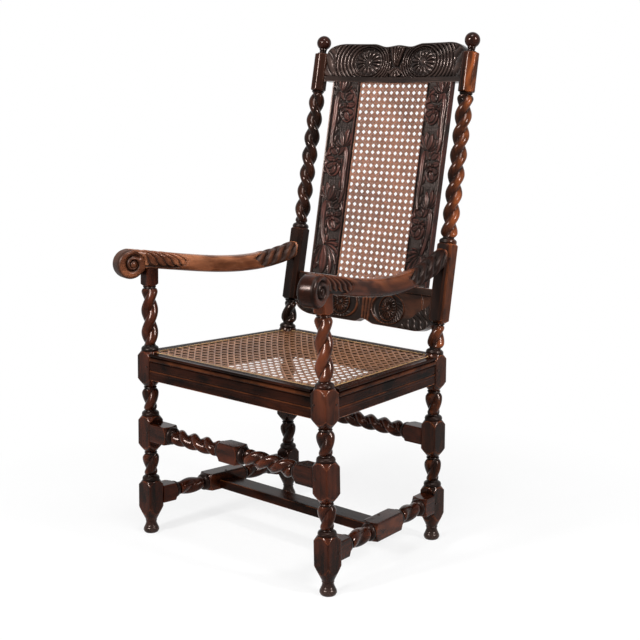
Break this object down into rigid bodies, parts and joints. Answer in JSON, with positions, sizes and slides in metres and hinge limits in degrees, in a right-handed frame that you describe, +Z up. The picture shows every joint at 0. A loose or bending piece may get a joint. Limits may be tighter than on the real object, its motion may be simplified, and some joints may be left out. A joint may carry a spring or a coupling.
{
  "type": "cane back armchair",
  "caption": "High-backed open armchair with twist-turned legs, stretchers and posts, carved back rails and uprights, scrolled arms, and a caned seat and back panel.",
  "frame": {"origin": "on the floor, in the middle of the chair's bounding box", "axes": "+Z up, -Y to the front, +X to the right as seen from in front"},
  "size_m": [0.6322, 0.6722, 1.1797],
  "materials": {
    "dark_walnut": "dark waxed polish",
    "post_walnut": "red-brown waxed polish",
    "arm_walnut": "worn waxed polish",
    "carved_walnut": "dark waxed polish, dark ground",
    "oak_peg": "dull",
    "cane": "split rattan, satin"
  },
  "bodies": {
    "root": {"arm_left": "arm_walnut", "arm_right": "arm_walnut", "back_cane": "cane", "back_upright_left": "carved_walnut", "back_upright_right": "carved_walnut", "crest_rail": "carved_walnut", "finial_left": "post_walnut", "finial_right": "post_walnut", "front_leg_left": "dark_walnut", "front_leg_right": "dark_walnut", "front_rail": "dark_walnut", "front_stretcher": "dark_walnut", "lower_back_rail": "carved_walnut", "medial_stretcher": "dark_walnut", "peg_arm_front_left": "oak_peg", "peg_arm_front_right": "oak_peg", "peg_arm_rear_left": "oak_peg", "peg_arm_rear_right": "oak_peg", "peg_crest_rail_left": "oak_peg", "peg_crest_rail_right": "oak_peg", "peg_front_rail_left": "oak_peg", "peg_front_rail_right": "oak_peg", "peg_front_stretcher_left": "oak_peg", "peg_front_stretcher_right": "oak_peg", "peg_lower_back_rail_left": "oak_peg", "peg_lower_back_rail_right": "oak_peg", "peg_medial_left": "oak_peg", "peg_medial_right": "oak_peg", "peg_rear_rail_left": "oak_peg", "peg_rear_rail_right": "oak_peg", "peg_rear_stretcher_left": "oak_peg", "peg_rear_stretcher_right": "oak_peg", "peg_side_rail_left_front_leg": "oak_peg", "peg_side_rail_left_rear_post": "oak_peg", "peg_side_rail_right_front_leg": "oak_peg", "peg_side_rail_right_rear_post": "oak_peg", "peg_side_stretcher_left_front_leg": "oak_peg", "peg_side_stretcher_left_rear_post": "oak_peg", "peg_side_stretcher_right_front_leg": "oak_peg", "peg_side_stretcher_right_rear_post": "oak_peg", "rear_post_left": "post_walnut", "rear_post_right": "post_walnut", "rear_rail": "dark_walnut", "rear_stretcher": "dark_walnut", "seat_cane": "cane", "side_rail_left": "dark_walnut", "side_rail_right": "dark_walnut", "side_stretcher_left": "dark_walnut", "side_stretcher_right": "dark_walnut"}
  },
  "joints": []
}
